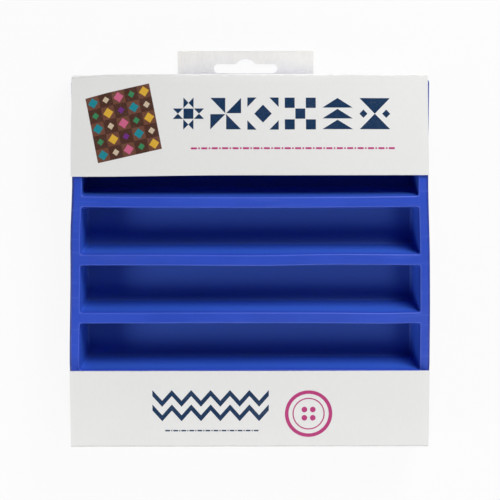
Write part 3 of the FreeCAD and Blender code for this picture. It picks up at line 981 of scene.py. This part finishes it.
boardSet = {
    # two shades that the fibres vary between
    "face": ((0.845, 0.845, 0.835), (0.83, 0.83, 0.82)),
    "inside": ((0.845, 0.83, 0.78), (0.8, 0.785, 0.735)),
    "raw": ((0.86, 0.85, 0.83), (0.7, 0.68, 0.64)),
    "shadeLevels": (0.36, 0.64),
    # a greyer board in the creases: painted shade
    "creaseShade": (0.74, 0.74, 0.73),
    "creaseShadeAndWearLevels": (0.2, 0.6),
    "wornRough": 0.2,
    "rough": {"face": (0.36, 0.46), "inside": (0.5, 0.64), "raw": (0.75, 0.9)},
    "gloss": 0.35,
    "fibre": 0.9,  # sizes and depths in mm
    "mottle": 26,
    "wave": 38,
    "waveDepth": 0.06,
    "tooth": 0.3,
    "toothDepth": {"face": 0.002, "inside": 0.002, "raw": 0.012},
    "wrinkle": 0.8,
    "wrinkleDepth": 0.03,
}


def makeBoard(name, kind, s):
    material, tree, shader = newFinish(name)
    sheet = addAttribute(tree, "sheet")
    crease = addAttribute(tree, "crease", "Fac")
    fibre = addNoise(tree, sheet, s["fibre"], 4, (1, 3, 1))
    mottle = addNoise(tree, sheet, s["mottle"], 3)
    tooth = addNoise(tree, sheet, s["tooth"], 2)
    wave = addNoise(tree, sheet, s["wave"], 1)
    wrinkle = addNoise(tree, sheet, s["wrinkle"], 2, (4, 1, 1))
    shade = addMath(tree, "MULTIPLY_ADD", fibre, 0.5, addMath(tree, "MULTIPLY", mottle, 0.5))
    colour = addMix(tree, addRange(tree, shade, *s["shadeLevels"]), *s[kind])
    # painted shade in the creases, which are also rougher where worn
    creaseShadeAndWear = addMath(tree, "MULTIPLY", crease, addRange(tree, wrinkle, *s["creaseShadeAndWearLevels"]))
    putIn(tree, shader.inputs["Base Color"], addMix(tree, creaseShadeAndWear, colour, s["creaseShade"]))
    rough = addRange(tree, shade, *noiseSpread, *s["rough"][kind])
    rough = addMath(tree, "MULTIPLY_ADD", creaseShadeAndWear, s["wornRough"], rough)
    putIn(tree, shader.inputs["Roughness"], rough)
    shader.inputs["Specular IOR Level"].default_value = s["gloss"]
    normal = addBump(tree, wave, s["waveDepth"])
    normal = addBump(tree, tooth, s["toothDepth"][kind], normal)
    creased = addMath(tree, "MULTIPLY", crease, wrinkle)
    putIn(tree, shader.inputs["Normal"], addBump(tree, creased, s["wrinkleDepth"], normal))
    return material


inkSet = {
    "dots": 0.34,  # mm, the printing's fine screen
    "dotLevels": (0.5, 0.75),
    "dotDepth": 0.002,
    "patchy": 7,
    "lighter": (0.93, 0.92, 0.9),
    "thin": 0.1,
    "rough": (0.3, 0.42),
    "gloss": 0.4,
}


def makeInk(s):
    material, tree, shader = newFinish("printInk")
    place = tree.nodes.new("ShaderNodeTexCoord").outputs["Object"]
    patchy = addNoise(tree, place, s["patchy"], 3)
    dots = addNoise(tree, place, s["dots"], 1)
    thin = addMath(tree, "MULTIPLY", addRange(tree, dots, *s["dotLevels"]), patchy)
    thin = addMath(tree, "MULTIPLY", thin, s["thin"])
    ink = addAttribute(tree, "inkColour", "Color")
    putIn(tree, shader.inputs["Base Color"], addMix(tree, thin, ink, s["lighter"]))
    putIn(tree, shader.inputs["Roughness"], addRange(tree, patchy, *noiseSpread, *s["rough"]))
    shader.inputs["Specular IOR Level"].default_value = s["gloss"]
    putIn(tree, shader.inputs["Normal"], addBump(tree, dots, s["dotDepth"]))
    return material


vinyl = makeVinyl(vinylSet, traySet)
boards = [makeBoard("cardFace", "face", boardSet), makeBoard("cardEdge", "raw", boardSet)]
boards.append(makeBoard("cardInside", "inside", boardSet))
ink = makeInk(inkSet)
print("materials")

tray = finishPiece(makeTray(traySet), "mouldedTray", [vinyl])
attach(tray, "tray")
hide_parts("tray")
print("tray", len(tray.data.polygons))

back = finishCard(cardSet, makeBack(cardSet), "cardBack", boards)
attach(back, "card_back")
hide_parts("card_back_panel")
topEdge = finishCard(cardSet, makeTopEdge(cardSet), "cardTopEdge", boards)
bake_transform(topEdge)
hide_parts("card_top_edge")
header = finishCard(cardSet, makeFlap(cardSet, 1), "cardHeader", boards)
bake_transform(header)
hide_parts("card_header_flap")
bottomEdge = finishCard(cardSet, makeBottomEdge(cardSet), "cardBottomEdge", boards)
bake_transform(bottomEdge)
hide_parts("card_bottom_edge")
footer = finishCard(cardSet, makeFlap(cardSet, -1), "cardFooter", boards, springOpen)
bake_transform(footer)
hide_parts("card_footer_flap")
print("card")

headerInk = makePrint(printSet, drawHeader, headerRungs)
settleAll(cardSet, headerInk)
headerPrint = finishPiece(headerInk, "headerPrint", [ink], smooth=False)
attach(headerPrint, "header")
footerInk = makePrint(printSet, drawFooter, footerRungs)
springOpen(cardSet, footerInk)
settleAll(cardSet, footerInk)
footerPrint = finishPiece(footerInk, "footerPrint", [ink], smooth=False)
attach(footerPrint, "footer")
print("prints")
